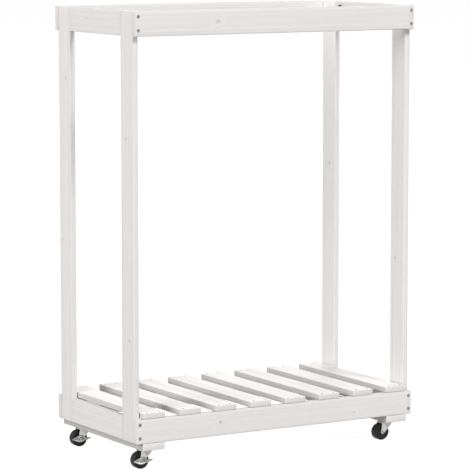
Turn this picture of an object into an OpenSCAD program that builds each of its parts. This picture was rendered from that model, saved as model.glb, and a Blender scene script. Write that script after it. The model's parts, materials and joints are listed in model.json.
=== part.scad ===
// Firewood log rack: a tall open frame of painted pine boards on four swivel casters.
// Origin: on the floor, under the middle of the rack.
// +X runs along the long front to the right, +Y to the back, +Z up.

/* [Frame] */
// Length of the front and rear rails
rack_w = 765; // [500:1:1200]
// Depth over the front and rear rails
rack_d = 400; // [300:1:600]
// Height of the wooden frame, without the caster boards and casters
frame_h = 1000; // [500:1:1400]
// Width of every board
board_w = 58; // [50:1:70]
// Thickness of posts, end rails and slats
board_t = 14; // [12:0.5:20]
// Thickness of the front and rear rails
rail_t = 16; // [14:0.5:22]
// Thickness of the two boards that carry the casters
caster_board_t = 17; // [12:0.5:22]
// Radius of the sanded long edges of a board
edge_r = 1.6; // [0.5:0.1:3]

/* [Slats] */
// Gap between an outer slat and the posts beside it
slat_end_gap = 2; // [0.5:0.1:6]

/* [Screws] */
// Distance of each screw of a pair from the middle line of its board
screw_offset = 16; // [10:0.5:20]
// Shank radius of the wood screws
screw_r = 2; // [1.5:0.1:2.5]
// Head radius of the wood screws
screw_head_r = 4; // [3:0.1:4.5]
// Radius of the pilot holes that the threads bite into
pilot_r = 1.4; // [1:0.1:1.5]
// Slope of the pocket holes to the face of an end rail, in degrees
pocket_slope = 15; // [12:1:18]
// Radius of a pocket hole
pocket_r = 4.75; // [4:0.25:5]

/* [Casters] */
// Height of a caster, from the floor to its mounting plate's top
caster_h = 49; // [48:0.5:60]
// Radius of a wheel
wheel_r = 20; // [18:0.5:21]
// Width of a tyre
tyre_w = 20; // [14:0.5:22]
// Distance from the swivel axis back to the axle
trail = 15; // [10:0.5:18]
// Distance of the swivel axes from the front or the rear face
caster_inset = 46; // [40:1:70]
// Distance of the swivel axes inboard of the middle lines of their boards
caster_shift = 2; // [0:0.5:6]
// Sheet thickness of the fork and the mounting plate
sheet_t = 1.6; // [1.2:0.1:2]
// Radius of the axle bolt
axle_r = 2.5; // [2:0.1:3]
// Radial running clearance of the axle, kingpin, lever and ball races
running_gap = 0.06; // [0.02:0.01:0.1]

/* [Brake levers] */
// Reach of the lever's toe behind the axle
toe_reach = 22; // [18:1:24]
// Reach of the lever's heel in front of the axle
heel_reach = 27.5; // [20:0.5:30]
// Slope of the foot ledge, down and outward from the lever's bend, in degrees
ledge_slope = 42; // [0:1:60]
// Greatest drop of the foot ledge's edge under the bend
ledge_drop = 5; // [3:0.5:7]

/* [Hidden] */
$fn = 48;
overlap = 0.01;
air = 0.3;
cut = 1;

// Heights of the frame
board_z = caster_h;
frame_z = board_z + caster_board_t;
top_z = frame_z + frame_h;
slat_z = frame_z + board_w;
top_rail_z = top_z - board_w;

// Planes of the frame, measured from the middle
post_x = rack_w / 2 - board_t / 2;
post_in_x = rack_w / 2 - board_t;
rail_y = rack_d / 2 - rail_t / 2;
post_out_y = rack_d / 2 - rail_t;
post_y = post_out_y - board_w / 2;
end_rail_l = 2 * (post_out_y - board_w);

// Row of slats
slat_count = 8;
slat_x = post_in_x - slat_end_gap - board_w / 2;
slat_pitch = 2 * slat_x / (slat_count - 1);
caster_board_x = post_in_x - board_w / 2;

// Wood screws: length under the head's top face, cone depth and tip
rail_screw_l = 40;
slat_screw_l = 30;
slat_screw_r = 1.6;
slat_head_r = 3.2;
slat_pilot_r = 1.1;
board_screw_l = 35;
head_gap = 0.15;
recess_w = 0.8;
recess_depth = 1.2;
shank_gap = 0.1;
tip_l = 4;
tip_r = 0.4;

// Pocket screws: a washer head at the pocket's flat bottom
pocket_stop = 13;
pocket_bite = 15;
pocket_reach = 40;
pocket_head_r = 4.2;
pocket_head_t = 2.2;
pocket_screw_r = 1.8;

// Caster: heights below the mounting plate's top
plate_x = 42;
plate_y = 38;
plate_corner = 4;
plate_hole_x = 16;
plate_hole_y = 14;
plate_hole_r = 2.2;
ball_r = 1.6;
ball_ring_r = 9.5;
ball_count = 10;
race_depth = 0.3;
ball_drop = sheet_t + ball_r - race_depth;
head_drop = ball_drop + ball_r - race_depth;
head_bottom_drop = head_drop + sheet_t;
head_r = 17;
flare_h = 15;
kingpin_r = 3;
kingpin_top_r = 4.4;
kingpin_foot_r = 5;
kingpin_foot_t = 1.6;
axle_drop = caster_h - wheel_r;

// Fork legs
leg_in = tyre_w / 2 + 1;
leg_out = leg_in + sheet_t;
leg_end_r = 4.6;
leg_back = -16;
leg_front = 13;
leg_shoulder_drop = head_drop + 4;

// Wheel
rim_r = 14.5;
rim_face = 0.6;
web_r = 12.4;
web_face = 1.6;
boss_r = 5.5;
tyre_round = 2;
groove = 0.7;

// Axle bolt and nut
bolt_head_r = 3.4;
bolt_head_t = 1.6;
bolt_drill_r = 1.3;
bolt_drill_l = 2.4;
nut_flats = 8;
nut_t = 3.6;
bolt_tail = 1.2;

// Brake lever: points of its side, behind and in front of the axle and above it
lever_t = 1.5;
lever_in = leg_out + air;
lever_out = lever_in + lever_t;
toe_top = 0.9;
toe_low = -1.9;
heel_root = [13.5, -5.4];
heel_low = -0.4;
heel_top = 2.2;
crown = [[13.5, 0.2], [12, 4], [9, 7.8], [3, 8.9], [-4, 8.5], [-13, 4.8]];

// Screws that hold casters up
plate_screw_l = 12;
plate_head_r = 3.6;
plate_head_t = 1.9;

// Corners, as signs of X and Y, and the signs of the two ends
ENDS = [-1, 1];
FRONT_LEFT = [-1, -1];
FRONT_RIGHT = [1, -1];
REAR_LEFT = [-1, 1];
REAR_RIGHT = [1, 1];
CORNERS = [FRONT_LEFT, FRONT_RIGHT, REAR_LEFT, REAR_RIGHT];

PAINT = "#E9E4DC";
PAINT_EDGE = "#DDD7CE";
ZINC = "#B9BBBC";
STEEL = "#8E9092";
DARK_STEEL = "#4A4744";
BLACK_RUBBER = "#1B1B1C";
BLACK_PLASTIC = "#2A2A2B";

// ---- Boards ----

// Cross-section of a board with its four long edges sanded round
module board_section(w, t) {
    square([w - 2 * edge_r, t], center = true);
    square([w, t - 2 * edge_r], center = true);
    for (x = ENDS, y = ENDS)
        translate([x * (w / 2 - edge_r), y * (t / 2 - edge_r)]) circle(edge_r);
}

// Board along +Z from the origin, its width along X and its thickness along Y
module board(l, w, t) {
    linear_extrude(l) board_section(w, t);
}

// Board along X, centred, standing on its long edge, its base at z = 0
module rail(l, w, t) {
    translate([-l / 2, 0, w / 2]) rotate([90, 0, 90]) rotate([0, 0, 90]) board(l, w, t);
}

// Board along Y, centred, lying flat, its underside at z = 0
module flat_board(l, w, t) {
    translate([0, l / 2, t / 2]) rotate([90, 0, 0]) board(l, w, t);
}

// ---- Screws ----

// Countersunk wood screw that points down from a flush head at the origin
module wood_screw(l, r, head_r) {
    difference() {
        union() {
            translate([0, 0, r - head_r]) cylinder(h = head_r - r, r1 = r, r2 = head_r);
            translate([0, 0, tip_l - l]) cylinder(h = l - tip_l - head_r + r + overlap, r = r);
            translate([0, 0, -l]) cylinder(h = tip_l, r1 = tip_r, r2 = r);
        }
        for (a = [0, 90]) rotate([0, 0, a]) translate([-head_r / 2, -recess_w / 2, -recess_depth])
            cube([head_r, recess_w, recess_depth + cut]);
    }
}

// Countersink and clearance hole for that screw, through a board of thickness t
module screw_hole(t, r, head_r) {
    hole_r = r + shank_gap;
    sink_r = head_r + head_gap;
    translate([0, 0, hole_r - sink_r]) cylinder(h = sink_r - hole_r, r1 = hole_r, r2 = sink_r);
    cylinder(h = cut, r = sink_r);
    translate([0, 0, -t - cut]) cylinder(h = t + cut, r = hole_r);
}

// Pilot hole for the part of the screw past the board that it holds
module pilot_hole(l, r) {
    translate([0, 0, -l - cut]) cylinder(h = l + 2 * cut, r = r);
}

// The pairs of screws at both ends of the front (side = -1) or rear (side = 1) rails
module at_rail_screws(side, rail_bases) {
    for (base = rail_bases, x = ENDS, pair = ENDS)
        translate([x * post_x, side * rack_d / 2, base + board_w / 2 + pair * screw_offset])
            rotate([-90 * side, 0, 0]) children();
}

// The pairs of screws at both ends of one slat
module at_slat_screws(i, sides) {
    for (y = sides, pair = ENDS)
        translate([slat_centre(i) + pair * screw_offset, y * rail_y, slat_z + board_t])
            children();
}

// The pairs of screws that hold one caster board up, heads at the underside
module at_board_screws(side, sides) {
    for (y = sides, pair = ENDS)
        translate([side * caster_board_x + pair * screw_offset, y * rail_y, board_z])
            rotate([180, 0, 0]) children();
}

// Pocket screws of one end rail: the origin is on the joint with the post, +Z back up the pocket
module at_pockets(side, base, sides) {
    for (y = sides, pair = ENDS)
        translate([side * post_x, y * end_rail_l / 2, base + board_w / 2 + pair * screw_offset])
            rotate([90, 0, y > 0 ? 0 : 180]) rotate([0, -side * y * pocket_slope, 0]) children();
}

// ---- Posts ----

module post(corner) {
    side = corner[1];
    color(PAINT) difference() {
        translate([corner[0] * post_x, side * post_y, frame_z]) rotate([0, 0, 90])
            board(frame_h, board_w, board_t);
        at_rail_screws(side, [frame_z, top_rail_z]) pilot_hole(rail_screw_l, pilot_r);
    }
}
module front_left_post() { post(FRONT_LEFT); }
module front_right_post() { post(FRONT_RIGHT); }
module rear_left_post() { post(REAR_LEFT); }
module rear_right_post() { post(REAR_RIGHT); }

// ---- Rails ----

module long_rail(side, base) {
    translate([0, side * rail_y, base]) rail(rack_w, board_w, rail_t);
}

module top_long_rail(side) {
    color(PAINT) difference() {
        long_rail(side, top_rail_z);
        at_rail_screws(side, [top_rail_z]) screw_hole(rail_t, screw_r, screw_head_r);
    }
}

// The bottom rails also take the slats' screws from above and the caster boards' from below
module bottom_long_rail(side) {
    color(PAINT) difference() {
        long_rail(side, frame_z);
        at_rail_screws(side, [frame_z]) screw_hole(rail_t, screw_r, screw_head_r);
        for (i = [1:slat_count])
            at_slat_screws(i, [side]) pilot_hole(slat_screw_l, slat_pilot_r);
        for (x = ENDS) at_board_screws(x, [side]) pilot_hole(board_screw_l, pilot_r);
    }
}
module top_front_rail() { top_long_rail(-1); }
module top_rear_rail() { top_long_rail(1); }
module bottom_front_rail() { bottom_long_rail(-1); }
module bottom_rear_rail() { bottom_long_rail(1); }

// Hole for one pocket screw: a flat-bottomed pocket and the clearance hole past it
module pocket_hole() {
    translate([0, 0, pocket_stop]) cylinder(h = pocket_reach, r = pocket_r);
    translate([0, 0, -cut]) cylinder(h = pocket_stop + 2 * cut, r = pocket_screw_r + shank_gap);
}

module end_rail(side, base) {
    color(PAINT_EDGE) difference() {
        translate([side * post_x, 0, base]) rotate([0, 0, 90]) rail(end_rail_l, board_w, board_t);
        at_pockets(side, base, ENDS) pocket_hole();
    }
}
module top_left_end_rail() { end_rail(-1, top_rail_z); }
module top_right_end_rail() { end_rail(1, top_rail_z); }
module bottom_left_end_rail() { end_rail(-1, frame_z); }
module bottom_right_end_rail() { end_rail(1, frame_z); }

// ---- Slats and caster boards ----

function slat_centre(i) = -slat_x + (i - 1) * slat_pitch;

module slat(i) {
    color(PAINT) difference() {
        translate([slat_centre(i), 0, slat_z]) flat_board(rack_d, board_w, board_t);
        at_slat_screws(i, ENDS) screw_hole(board_t, slat_screw_r, slat_head_r);
    }
}
module slat_1() { slat(1); }
module slat_2() { slat(2); }
module slat_3() { slat(3); }
module slat_4() { slat(4); }
module slat_5() { slat(5); }
module slat_6() { slat(6); }
module slat_7() { slat(7); }
module slat_8() { slat(8); }

module caster_board(side) {
    color(PAINT_EDGE) difference() {
        translate([side * caster_board_x, 0, board_z]) flat_board(rack_d, board_w, caster_board_t);
        at_board_screws(side, ENDS) screw_hole(caster_board_t, screw_r, screw_head_r);
        for (y = ENDS) at_caster([side, y]) at_plate_holes() pilot_hole_up();
    }
}
module left_caster_board() { caster_board(-1); }
module right_caster_board() { caster_board(1); }

// ---- Fasteners of the frame ----

module rail_screws(side) {
    color(DARK_STEEL) at_rail_screws(side, [frame_z, top_rail_z])
        wood_screw(rail_screw_l, screw_r, screw_head_r);
}
module front_rail_screws() { rail_screws(-1); }
module rear_rail_screws() { rail_screws(1); }

module pocket_screws() {
    color(STEEL) for (side = ENDS, base = [frame_z, top_rail_z]) at_pockets(side, base, ENDS) {
        translate([0, 0, pocket_stop]) cylinder(h = pocket_head_t, r = pocket_head_r);
        translate([0, 0, tip_l - pocket_bite])
            cylinder(h = pocket_stop + pocket_bite - tip_l + overlap, r = pocket_screw_r);
        translate([0, 0, -pocket_bite]) cylinder(h = tip_l, r1 = tip_r, r2 = pocket_screw_r);
    }
}

module slat_screws() {
    color(STEEL) for (i = [1:slat_count])
        at_slat_screws(i, ENDS) wood_screw(slat_screw_l, slat_screw_r, slat_head_r);
}

module board_screws() {
    color(STEEL) for (side = ENDS)
        at_board_screws(side, ENDS) wood_screw(board_screw_l, screw_r, screw_head_r);
}

// ---- Casters: the swivel axis is Z, the mounting plate's top is at z = 0 ----

module at_caster(corner) {
    translate([corner[0] * (caster_board_x - caster_shift),
        corner[1] * (rack_d / 2 - caster_inset), board_z]) children();
}

module at_plate_holes() {
    for (x = ENDS, y = ENDS) translate([x * plate_hole_x, y * plate_hole_y, 0]) children();
}

module at_axle() {
    translate([-trail, 0, -axle_drop]) children();
}

// Ball race: a ring groove that the balls roll in
module race() {
    translate([0, 0, -ball_drop]) rotate_extrude()
        translate([ball_ring_r, 0]) circle(ball_r + running_gap);
}

module pilot_hole_up() {
    translate([0, 0, -cut]) cylinder(h = plate_screw_l + cut, r = pilot_r);
}

module plate() {
    color(ZINC) difference() {
        translate([0, 0, -sheet_t]) linear_extrude(sheet_t) union() {
            square([plate_x - 2 * plate_corner, plate_y], center = true);
            square([plate_x, plate_y - 2 * plate_corner], center = true);
            for (x = ENDS, y = ENDS)
                translate([x * (plate_x / 2 - plate_corner), y * (plate_y / 2 - plate_corner)])
                    circle(plate_corner);
        }
        at_plate_holes() translate([0, 0, -sheet_t - cut])
            cylinder(h = sheet_t + 2 * cut, r = plate_hole_r);
        translate([0, 0, -sheet_t - cut]) cylinder(h = sheet_t + 2 * cut, r = kingpin_r);
        translate([0, 0, -sheet_t]) cylinder(h = sheet_t, r1 = kingpin_r, r2 = kingpin_top_r);
        cylinder(h = cut, r = kingpin_top_r);
        race();
    }
}

// Rivet that carries the fork: countersunk head in the plate, peened foot under the fork
module kingpin() {
    foot_top = -head_bottom_drop - air;
    translate([0, 0, -sheet_t]) cylinder(h = sheet_t, r1 = kingpin_r, r2 = kingpin_top_r);
    translate([0, 0, foot_top]) cylinder(h = -sheet_t - foot_top + overlap, r = kingpin_r);
    translate([0, 0, foot_top - kingpin_foot_t]) cylinder(h = kingpin_foot_t, r = kingpin_foot_r);
}

module balls() {
    for (i = [1:ball_count]) rotate([0, 0, i * 360 / ball_count])
        translate([ball_ring_r, 0, -ball_drop]) sphere(ball_r);
}

// Point where the line from p touches the circle of radius r about c, on the side s (1 or -1)
function touch(p, c, r, s) = let (
    d = norm(p - c),
    a = atan2(p[1] - c[1], p[0] - c[0]) + s * acos(r / d)
) c + r * [cos(a), sin(a)];

// Side of the fork, in the X-Z plane: wide under the head, tapering to a round end at the axle
module leg_outline() {
    axle = [-trail, -axle_drop];
    back = [leg_back, -leg_shoulder_drop];
    front = [leg_front, -leg_shoulder_drop];
    polygon([[leg_back, -head_drop], [leg_front, -head_drop], front,
        touch(front, axle, leg_end_r, -1), axle, touch(back, axle, leg_end_r, 1), back]);
    translate(axle) circle(leg_end_r);
}

// Space that the fork's sheet wraps, grown by a thickness and longer by an extra at its
// ends: flat sides, with a cone that flares them out to the round head
module fork_space(thickness, extra) {
    side = leg_in + thickness;
    reach = trail + leg_end_r + cut + extra;
    low = axle_drop + leg_end_r + cut + extra;
    translate([-reach, -side, -low]) cube([2 * reach, 2 * side, low - head_drop + extra]);
    translate([0, 0, -head_drop - flare_h])
        cylinder(h = flare_h, r1 = side, r2 = head_r - sheet_t + thickness);
    if (extra > 0) translate([0, 0, -head_drop]) cylinder(h = extra, r = head_r - sheet_t + thickness);
}

module fork() {
    color(ZINC) difference() {
        union() {
            intersection() {
                rotate([90, 0, 0]) linear_extrude(2 * head_r + cut, center = true) leg_outline();
                difference() {
                    fork_space(sheet_t, 0);
                    fork_space(0, cut);
                }
            }
            translate([leg_back, -leg_out, -head_bottom_drop])
                cube([leg_front - leg_back, 2 * leg_out, sheet_t]);
            translate([0, 0, -head_bottom_drop]) cylinder(h = sheet_t, r = head_r);
        }
        at_axle() rotate([90, 0, 0])
            cylinder(h = 4 * leg_out, r = axle_r + running_gap, center = true);
        translate([0, 0, -head_bottom_drop - cut])
            cylinder(h = sheet_t + 2 * cut, r = kingpin_r + running_gap);
        race();
    }
}

// Tyre: a ring with rounded shoulders, moulded on the hub's rim
module tyre() {
    half = tyre_w / 2;
    color(BLACK_RUBBER) at_axle() rotate([90, 0, 0]) rotate_extrude() {
        translate([rim_r, -half + groove]) square([wheel_r - rim_r - tyre_round, tyre_w - 2 * groove]);
        translate([rim_r + groove, -half])
            square([wheel_r - rim_r - tyre_round - groove, tyre_w]);
        translate([rim_r + groove, -half + tyre_round])
            square([wheel_r - rim_r - groove, tyre_w - 2 * tyre_round]);
        for (s = ENDS) translate([wheel_r - tyre_round, s * (half - tyre_round)])
            circle(tyre_round);
    }
}

// Hub: rim, thin web and a boss that runs on the axle bolt
module hub() {
    bore_r = axle_r + running_gap;
    boss_half = leg_in - air;
    rim_half = tyre_w / 2 - rim_face;
    web_half = tyre_w / 2 - web_face;
    color(BLACK_PLASTIC) at_axle() rotate([90, 0, 0]) rotate_extrude() {
        translate([bore_r, -boss_half]) square([boss_r - bore_r, 2 * boss_half]);
        translate([boss_r - overlap, -web_half])
            square([web_r - boss_r + 2 * overlap, 2 * web_half]);
        translate([web_r, -rim_half]) square([rim_r - web_r, 2 * rim_half]);
    }
}

// Outer face of what the bolt's head clamps: the fork, or the lever outside it
function bolt_seat(braked) = braked ? lever_out + air : leg_out;

// Axle bolt: low drilled head in front, threaded tail behind
module axle_bolt(braked) {
    seat = bolt_seat(braked);
    tail = leg_out + nut_t + bolt_tail;
    color(STEEL) at_axle() rotate([90, 0, 0]) difference() {
        union() {
            translate([0, 0, seat]) cylinder(h = bolt_head_t, r = bolt_head_r);
            translate([0, 0, -tail]) cylinder(h = tail + seat + overlap, r = axle_r);
        }
        translate([0, 0, seat + bolt_head_t - bolt_drill_l])
            cylinder(h = bolt_drill_l + cut, r = bolt_drill_r);
    }
}

module axle_nut() {
    color(ZINC) at_axle() rotate([90, 0, 0]) difference() {
        translate([0, 0, -leg_out - nut_t])
            cylinder(h = nut_t, r = nut_flats / 2 / cos(30), $fn = 6);
        translate([0, 0, -leg_out - nut_t - cut]) cylinder(h = nut_t + 2 * cut, r = axle_r);
    }
}

// Foot ledge: a leaf of sheet that slopes down and outward from the lever's straight bend
module foot_ledge() {
    toe = [-toe_reach, toe_low];
    bend = heel_root - toe;
    intersection() {
        translate([toe[0], toe[1], lever_in]) rotate([0, 0, atan2(bend[1], bend[0])])
            rotate([ledge_slope, 0, 0]) cube([norm(bend), lever_t, 3 * ledge_drop]);
        translate([0, 0, lever_in]) linear_extrude(3 * ledge_drop)
            polygon(concat([for (i = [0:12]) toe + bend * i / 12
                - [0, ledge_drop * sin(180 * pow(i / 12, 0.9))]],
                [heel_root + [0, 2 * lever_t], toe + [0, 2 * lever_t]]));
    }
}

// Rocker lever: an upright plate on the axle bolt with a foot ledge along its lower edge
module brake_lever() {
    color(ZINC) at_axle() rotate([90, 0, 0]) difference() {
        union() {
            translate([0, 0, lever_in]) linear_extrude(lever_t)
                polygon(concat([[-toe_reach, toe_top], [-toe_reach, toe_low], heel_root,
                    [heel_reach, heel_low], [heel_reach - 1, heel_top]], crown));
            foot_ledge();
        }
        cylinder(h = 3 * lever_out, r = axle_r + running_gap);
    }
}

// Pan-head screws that hold the four plates up
module plate_screw() {
    translate([0, 0, -sheet_t - plate_head_t]) cylinder(h = plate_head_t, r = plate_head_r);
    translate([0, 0, -sheet_t - overlap])
        cylinder(h = sheet_t + plate_screw_l - tip_l + overlap, r = screw_r);
    translate([0, 0, plate_screw_l - tip_l]) cylinder(h = tip_l, r1 = screw_r, r2 = tip_r);
}

module caster_screws() {
    color(STEEL) for (corner = CORNERS) at_caster(corner) at_plate_holes() plate_screw();
}
module kingpins() { color(STEEL) for (corner = CORNERS) at_caster(corner) kingpin(); }
module swivel_balls() { color(STEEL) for (corner = CORNERS) at_caster(corner) balls(); }

module front_left_plate() { at_caster(FRONT_LEFT) plate(); }
module front_left_fork() { at_caster(FRONT_LEFT) fork(); }
module front_left_hub() { at_caster(FRONT_LEFT) hub(); }
module front_left_tyre() { at_caster(FRONT_LEFT) tyre(); }
module front_left_axle_bolt() { at_caster(FRONT_LEFT) axle_bolt(true); }
module front_left_axle_nut() { at_caster(FRONT_LEFT) axle_nut(); }
module front_left_brake_lever() { at_caster(FRONT_LEFT) brake_lever(); }

module front_right_plate() { at_caster(FRONT_RIGHT) plate(); }
module front_right_fork() { at_caster(FRONT_RIGHT) fork(); }
module front_right_hub() { at_caster(FRONT_RIGHT) hub(); }
module front_right_tyre() { at_caster(FRONT_RIGHT) tyre(); }
module front_right_axle_bolt() { at_caster(FRONT_RIGHT) axle_bolt(false); }
module front_right_axle_nut() { at_caster(FRONT_RIGHT) axle_nut(); }

module rear_left_plate() { at_caster(REAR_LEFT) plate(); }
module rear_left_fork() { at_caster(REAR_LEFT) fork(); }
module rear_left_hub() { at_caster(REAR_LEFT) hub(); }
module rear_left_tyre() { at_caster(REAR_LEFT) tyre(); }
module rear_left_axle_bolt() { at_caster(REAR_LEFT) axle_bolt(true); }
module rear_left_axle_nut() { at_caster(REAR_LEFT) axle_nut(); }
module rear_left_brake_lever() { at_caster(REAR_LEFT) brake_lever(); }

module rear_right_plate() { at_caster(REAR_RIGHT) plate(); }
module rear_right_fork() { at_caster(REAR_RIGHT) fork(); }
module rear_right_hub() { at_caster(REAR_RIGHT) hub(); }
module rear_right_tyre() { at_caster(REAR_RIGHT) tyre(); }
module rear_right_axle_bolt() { at_caster(REAR_RIGHT) axle_bolt(false); }
module rear_right_axle_nut() { at_caster(REAR_RIGHT) axle_nut(); }

// ---- The rack ----

front_left_post();
front_right_post();
rear_left_post();
rear_right_post();
top_front_rail();
top_rear_rail();
top_left_end_rail();
top_right_end_rail();
bottom_front_rail();
bottom_rear_rail();
bottom_left_end_rail();
bottom_right_end_rail();
slat_1();
slat_2();
slat_3();
slat_4();
slat_5();
slat_6();
slat_7();
slat_8();
left_caster_board();
right_caster_board();
front_rail_screws();
rear_rail_screws();
pocket_screws();
slat_screws();
board_screws();
caster_screws();
kingpins();
swivel_balls();
front_left_plate();
front_left_fork();
front_left_hub();
front_left_tyre();
front_left_axle_bolt();
front_left_axle_nut();
front_left_brake_lever();
front_right_plate();
front_right_fork();
front_right_hub();
front_right_tyre();
front_right_axle_bolt();
front_right_axle_nut();
rear_left_plate();
rear_left_fork();
rear_left_hub();
rear_left_tyre();
rear_left_axle_bolt();
rear_left_axle_nut();
rear_left_brake_lever();
rear_right_plate();
rear_right_fork();
rear_right_hub();
rear_right_tyre();
rear_right_axle_bolt();
rear_right_axle_nut();
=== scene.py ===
import json
import math

import bmesh
import bpy
import numpy as np
from mathutils import Matrix, Vector


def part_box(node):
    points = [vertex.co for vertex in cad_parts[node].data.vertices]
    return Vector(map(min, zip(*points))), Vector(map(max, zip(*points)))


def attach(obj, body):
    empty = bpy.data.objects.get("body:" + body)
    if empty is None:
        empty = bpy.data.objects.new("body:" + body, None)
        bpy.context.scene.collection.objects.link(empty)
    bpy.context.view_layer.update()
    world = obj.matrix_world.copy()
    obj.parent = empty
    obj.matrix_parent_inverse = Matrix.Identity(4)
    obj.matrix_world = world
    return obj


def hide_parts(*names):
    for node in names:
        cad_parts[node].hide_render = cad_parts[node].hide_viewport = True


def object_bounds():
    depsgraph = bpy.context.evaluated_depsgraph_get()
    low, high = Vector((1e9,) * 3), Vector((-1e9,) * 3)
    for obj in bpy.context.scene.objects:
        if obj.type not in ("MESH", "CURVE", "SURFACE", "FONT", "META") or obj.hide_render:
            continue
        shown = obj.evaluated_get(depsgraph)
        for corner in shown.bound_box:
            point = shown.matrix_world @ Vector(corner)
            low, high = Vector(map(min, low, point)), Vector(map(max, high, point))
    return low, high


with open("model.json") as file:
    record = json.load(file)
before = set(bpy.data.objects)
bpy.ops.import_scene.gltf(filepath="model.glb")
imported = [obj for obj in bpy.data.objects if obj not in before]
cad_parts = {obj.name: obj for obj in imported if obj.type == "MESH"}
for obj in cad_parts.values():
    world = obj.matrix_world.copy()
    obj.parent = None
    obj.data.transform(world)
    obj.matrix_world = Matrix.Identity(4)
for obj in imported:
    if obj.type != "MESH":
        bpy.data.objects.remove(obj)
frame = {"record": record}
cad_low, cad_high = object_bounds()
MM = 0.001
BODY_OF = {node: body for body, nodes in frame["record"]["behaviour"]["bodies"].items() for node in nodes}


# Posts: four planed pine boards that stand on edge between the front and rear rails.
# Their long arrises are sanded round, their ends are sawn, and they were brushed with
# one thin coat of white paint before assembly, so the grain still shows a little.

ARRIS = 2.0 * MM
END_EASE = 1.1 * MM
WANDER = 0.12 * MM
COUNTERSINK_GAP = 0.15 * MM
SINK_DEPTH = 2.4 * MM

# The growth rings: their spacing, how they are scaled along the board, and the length in
# metres of the texture's wave at scale 1. A knot winds them within so many of its radii, by
# so many radians at its middle.
RING_PITCH = 4.4 * MM
GRAIN_STRETCH = 0.06
WAVE_AT_SCALE_1 = 0.314
KNOT_PULL = 4.5
KNOT_TURNS = 16.0
# The widths of the broad bands, of the fibres, of the strip that is rubbed at the arrises
# and of the patches along it. Painted shade darkens a face where another face is within reach.
BAND_W = 20 * MM
FIBRE_W = 1.2 * MM
RUBBED_W = 1.3 * MM
PATCH_W = 30 * MM
JOINT_REACH = 3 * MM
FACE_JOINT_SHADE = 0.15

# The seed, the knots along and across each post (distance from its middle, distance from
# its centre line) and each knot's radius.
POSTS = {
    "front_left_post": (3, [(205, 6, 4.0), (-262, -9, 3.2)]),
    "front_right_post": (4, [(-120, 8, 3.6)]),
    "rear_left_post": (5, [(330, -6, 3.4), (-60, 10, 3.0)]),
    "rear_right_post": (6, [(90, -4, 3.6)]),
}

# The whiteness of a board's paint over the usual one, where the two differ: raised on boards the lamps
# leave dim and lowered on one they light strongly, as painted light and shade.
PAINTED_LIGHT_SCALES = {"rear_right_post": 1.14, "rear_left_post": 1.02, "front_right_post": 1.05, "top_front_rail": 0.98,
         "bottom_front_rail": 1.05, "bottom_left_end_rail": 1.04, "slat_8": 1.03, "left_caster_board": 1.07,
         "right_caster_board": 1.07}


def linear(code):
    """The linear RGBA colour of an sRGB code such as "#EDE9E3"."""
    srgb = np.array([int(code[i:i + 2], 16) for i in (1, 3, 5)]) / 255
    rgb = np.where(srgb <= 0.04045, srgb / 12.92, ((srgb + 0.055) / 1.055) ** 2.4)
    return (*rgb, 1.0)


def add(tree, kind, inputs=None, **settings):
    """Adds one shader node. inputs maps a socket's name or number to a value or to the
    socket that feeds it, and settings are the node's own properties."""
    made = tree.nodes.new("ShaderNode" + kind)
    for key, value in settings.items():
        setattr(made, key, value)
    for key, value in (inputs or {}).items():
        if isinstance(value, bpy.types.NodeSocket):
            tree.links.new(value, made.inputs[key])
        else:
            made.inputs[key].default_value = value
    return made


def new_material(name):
    """An empty node material: its tree and its Principled shader."""
    material = bpy.data.materials.new(name)
    material.use_nodes = True
    tree = material.node_tree
    return material, tree, tree.nodes["Principled BSDF"]


def filleted(corners, radii, steps=4):
    """The polyline through corners with each inner corner turned into an arc that is
    tangent to both of its sides: the arc starts and ends r / tan(half the angle) away."""
    corners = np.asarray(corners, float)
    radii = np.broadcast_to(radii, len(corners))
    line = [corners[0]]
    for before, corner, after, radius in zip(corners, corners[1:], corners[2:], radii[1:]):
        to_a, to_b = before - corner, after - corner
        a, b = to_a / np.linalg.norm(to_a), to_b / np.linalg.norm(to_b)
        half = math.acos(np.clip(a @ b, -1, 1)) / 2
        reach = min(radius / math.tan(half), 0.49 * min(np.linalg.norm(to_a), np.linalg.norm(to_b)))
        if reach < 1e-7 or half > 1.55:
            line.append(corner)
            continue
        centre = corner + (a + b) / np.linalg.norm(a + b) * reach / math.cos(half)
        start, end = corner + a * reach - centre, corner + b * reach - centre
        turn = math.pi - 2 * half
        t = np.linspace(0, 1, steps + 1)[:, None]
        line.extend(centre + (np.sin((1 - t) * turn) * start + np.sin(t * turn) * end) / math.sin(turn))
    line.append(corners[-1])
    return np.array(line)


def shell(points, wrap=True, capped=True):
    """Faces over a grid of points (rows, columns, xyz). wrap joins the last column to the
    first, and capped closes the first and the last row with one face each."""
    rows, columns = points.shape[:2]
    index = np.arange(rows * columns).reshape(rows, columns)
    across = np.roll(index, -1, axis=1) if wrap else index[:, 1:]
    near = index if wrap else index[:, :-1]
    quads = np.stack([near[:-1], across[:-1], across[1:], near[1:]], -1).reshape(-1, 4)
    faces = quads.tolist()
    if capped:
        faces += [index[0][::-1].tolist(), index[-1].tolist()]
    return points.reshape(-1, 3), faces


def make_mesh(name, shells, sharp=35):
    """One mesh from several shells: points that meet are merged, normals are turned
    outwards, and edges sharper than the angle stay crisp."""
    verts, faces, offset = [], [], 0
    for points, polygons in shells:
        verts.append(points)
        faces += [[i + offset for i in polygon] for polygon in polygons]
        offset += len(points)
    mesh = bpy.data.meshes.new(name)
    mesh.from_pydata(np.concatenate(verts), [], faces)
    work = bmesh.new()
    work.from_mesh(mesh)
    bmesh.ops.remove_doubles(work, verts=work.verts, dist=1e-6)
    bmesh.ops.dissolve_degenerate(work, dist=1e-7, edges=work.edges)
    bmesh.ops.recalc_face_normals(work, faces=work.faces)
    work.to_mesh(mesh)
    work.free()
    mesh.shade_smooth()
    mesh.set_sharp_from_angle(angle=math.radians(sharp))
    return mesh


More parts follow.
